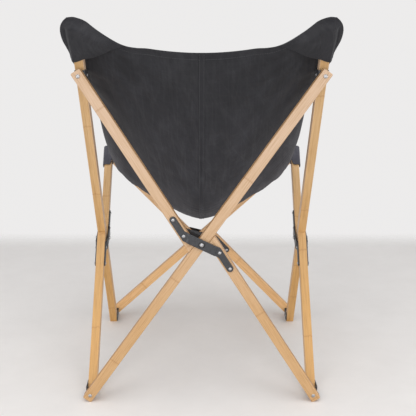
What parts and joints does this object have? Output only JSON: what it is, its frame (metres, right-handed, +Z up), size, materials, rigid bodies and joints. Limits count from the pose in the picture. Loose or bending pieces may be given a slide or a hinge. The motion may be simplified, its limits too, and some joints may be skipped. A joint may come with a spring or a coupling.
{
  "type": "folding sling chair",
  "caption": "Folding butterfly chair: scissor crosses of bamboo rods with steel plates and corner brackets carry a canvas sling seat on its ears and front posts.",
  "frame": {"origin": "on the floor, under the middle of the chair's box", "axes": "+Z up, +Y towards the front of the seat, +X to the right as seen from behind"},
  "size_m": [0.5449, 0.5656, 0.8454],
  "materials": {
    "bamboo": "satin",
    "black_steel": "satin",
    "bright_steel": "polished",
    "canvas": "matte"
  },
  "bodies": {
    "rear_left_foot": {"rear_left_foot_bracket": "black_steel", "rear_left_foot_cross_screw": "bright_steel", "rear_left_foot_side_screw": "bright_steel"},
    "rear_long": {"rear_long_rod": "bamboo", "rear_pivot_rivet": "bright_steel", "rear_right_ear_cross_screw": "bright_steel"},
    "rear_split": {"rear_upper_half_rod": "bamboo", "rear_lower_half_rod": "bamboo", "rear_outer_plate": "black_steel", "rear_inner_plate": "black_steel", "rear_left_ear_cross_screw": "bright_steel"},
    "rear_right_foot": {"rear_right_foot_bracket": "black_steel", "rear_right_foot_cross_screw": "bright_steel", "rear_right_foot_side_screw": "bright_steel"},
    "front_long": {"front_long_rod": "bamboo", "front_pivot_rivet": "bright_steel", "front_right_top_cross_screw": "bright_steel"},
    "front_split": {"front_upper_half_rod": "bamboo", "front_lower_half_rod": "bamboo", "front_outer_plate": "black_steel", "front_inner_plate": "black_steel", "front_left_top_cross_screw": "bright_steel", "front_right_foot_cross_screw": "bright_steel"},
    "left_split": {"left_upper_half_rod": "bamboo", "left_lower_half_rod": "bamboo", "left_outer_plate": "black_steel", "left_inner_plate": "black_steel", "left_front_pocket": "canvas"},
    "left_long": {"left_long_rod": "bamboo", "left_pivot_rivet": "bright_steel", "left_ear_pocket": "canvas"},
    "left_ear": {"rear_left_ear_bracket": "black_steel", "rear_left_ear_side_screw": "bright_steel"},
    "front_left_foot": {"front_left_foot_bracket": "black_steel", "front_left_foot_side_screw": "bright_steel", "front_left_foot_cross_screw": "bright_steel"},
    "front_left_top": {"front_left_top_bracket": "black_steel", "front_left_top_side_screw": "bright_steel"},
    "sling_left": {"sling_left_panel": "canvas"},
    "right_split": {"right_upper_half_rod": "bamboo", "right_lower_half_rod": "bamboo", "right_outer_plate": "black_steel", "right_inner_plate": "black_steel", "right_front_pocket": "canvas"},
    "right_long": {"right_long_rod": "bamboo", "right_pivot_rivet": "bright_steel", "right_ear_pocket": "canvas"},
    "right_ear": {"rear_right_ear_bracket": "black_steel", "rear_right_ear_side_screw": "bright_steel"},
    "front_right_foot": {"front_right_foot_bracket": "black_steel", "front_right_foot_side_screw": "bright_steel"},
    "front_right_top": {"front_right_top_bracket": "black_steel", "front_right_top_side_screw": "bright_steel"},
    "sling_right": {"sling_right_panel": "canvas"}
  },
  "joints": [
    {"name": "fold", "type": "hinge", "parent": "rear_left_foot", "child": "rear_long", "pos_m": [-0.256, -0.25086, 0.016], "axis": [0, -1, 0], "range_deg": [0, 32.29], "deforming": ["sling_left_panel", "sling_right_panel"]},
    {"name": "rear_cross", "type": "hinge", "parent": "rear_long", "child": "rear_split", "pos_m": [0, -0.25086, 0.378], "axis": [0, 1, 0], "range_deg": [0, 64.6]},
    {"name": "rear_right_foot_turn", "type": "hinge", "parent": "rear_split", "child": "rear_right_foot", "pos_m": [0.256, -0.25086, 0.016], "axis": [0, -1, 0], "range_deg": [0, 32.3]},
    {"name": "left_split_lean", "type": "hinge", "parent": "rear_left_foot", "child": "left_split", "pos_m": [-0.256, -0.21286, 0.016], "axis": [1, 0, 0], "range_deg": [0, 30.93]},
    {"name": "left_cross", "type": "hinge", "parent": "left_split", "child": "left_long", "pos_m": [-0.256, 0.05009, 0.30336], "axis": [-1, 0, 0], "range_deg": [0, 53.16]},
    {"name": "left_ear_turn", "type": "hinge", "parent": "left_long", "child": "left_ear", "pos_m": [-0.256, -0.21286, 0.74], "axis": [1, 0, 0], "range_deg": [0, 22.24]},
    {"name": "front_left_foot_turn", "type": "hinge", "parent": "left_long", "child": "front_left_foot", "pos_m": [-0.256, 0.22314, 0.016], "axis": [1, 0, 0], "range_deg": [0, 22.24]},
    {"name": "front_left_top_turn", "type": "hinge", "parent": "left_split", "child": "front_left_top", "pos_m": [-0.256, 0.22314, 0.48], "axis": [-1, 0, 0], "range_deg": [0, 30.93]},
    {"name": "sling_left_swing", "type": "hinge", "parent": "left_ear", "child": "sling_left", "pos_m": [-0.256, -0.21286, 0.74], "axis": [0, 0.4664, -0.8846], "range_deg": [0, 72.01], "deforming": ["sling_left_panel"]},
    {"name": "right_split_lean", "type": "hinge", "parent": "rear_right_foot", "child": "right_split", "pos_m": [0.256, -0.21286, 0.016], "axis": [1, 0, 0], "range_deg": [0, 30.93]},
    {"name": "right_cross", "type": "hinge", "parent": "right_split", "child": "right_long", "pos_m": [0.256, 0.05009, 0.30336], "axis": [-1, 0, 0], "range_deg": [0, 53.16]},
    {"name": "right_ear_turn", "type": "hinge", "parent": "right_long", "child": "right_ear", "pos_m": [0.256, -0.21286, 0.74], "axis": [1, 0, 0], "range_deg": [0, 22.24]},
    {"name": "front_right_foot_turn", "type": "hinge", "parent": "right_long", "child": "front_right_foot", "pos_m": [0.256, 0.22314, 0.016], "axis": [1, 0, 0], "range_deg": [0, 22.24]},
    {"name": "front_right_top_turn", "type": "hinge", "parent": "right_split", "child": "front_right_top", "pos_m": [0.256, 0.22314, 0.48], "axis": [-1, 0, 0], "range_deg": [0, 30.93]},
    {"name": "sling_right_swing", "type": "hinge", "parent": "right_ear", "child": "sling_right", "pos_m": [0.256, -0.21286, 0.74], "axis": [0, -0.4664, 0.8846], "range_deg": [0, 72.01], "deforming": ["sling_right_panel"]},
    {"name": "front_long_lean", "type": "hinge", "parent": "front_left_foot", "child": "front_long", "pos_m": [-0.256, 0.26714, 0.016], "axis": [0, -1, 0], "range_deg": [0, 44.01]},
    {"name": "front_cross", "type": "hinge", "parent": "front_long", "child": "front_split", "pos_m": [0, 0.26714, 0.248], "axis": [0, 1, 0], "range_deg": [0, 88.01]}
  ],
  "couplings": [
    {"joint": "rear_cross", "follows": "fold", "ratio": 2},
    {"joint": "rear_right_foot_turn", "follows": "fold", "ratio": 1},
    {"joint": "left_split_lean", "follows": "fold", "ratio": 0.95745},
    {"joint": "left_cross", "follows": "fold", "ratio": 1.6458},
    {"joint": "left_ear_turn", "follows": "fold", "ratio": 0.68836},
    {"joint": "front_left_foot_turn", "follows": "fold", "ratio": 0.68836},
    {"joint": "front_left_top_turn", "follows": "fold", "ratio": 0.95745},
    {"joint": "sling_left_swing", "follows": "fold", "ratio": 2.2295},
    {"joint": "right_split_lean", "follows": "fold", "ratio": 0.95745},
    {"joint": "right_cross", "follows": "fold", "ratio": 1.6458},
    {"joint": "right_ear_turn", "follows": "fold", "ratio": 0.68836},
    {"joint": "front_right_foot_turn", "follows": "fold", "ratio": 0.68836},
    {"joint": "front_right_top_turn", "follows": "fold", "ratio": 0.95745},
    {"joint": "sling_right_swing", "follows": "fold", "ratio": 2.2295},
    {"joint": "front_long_lean", "follows": "fold", "ratio": 1.3624},
    {"joint": "front_cross", "follows": "fold", "ratio": 2.7248}
  ]
}
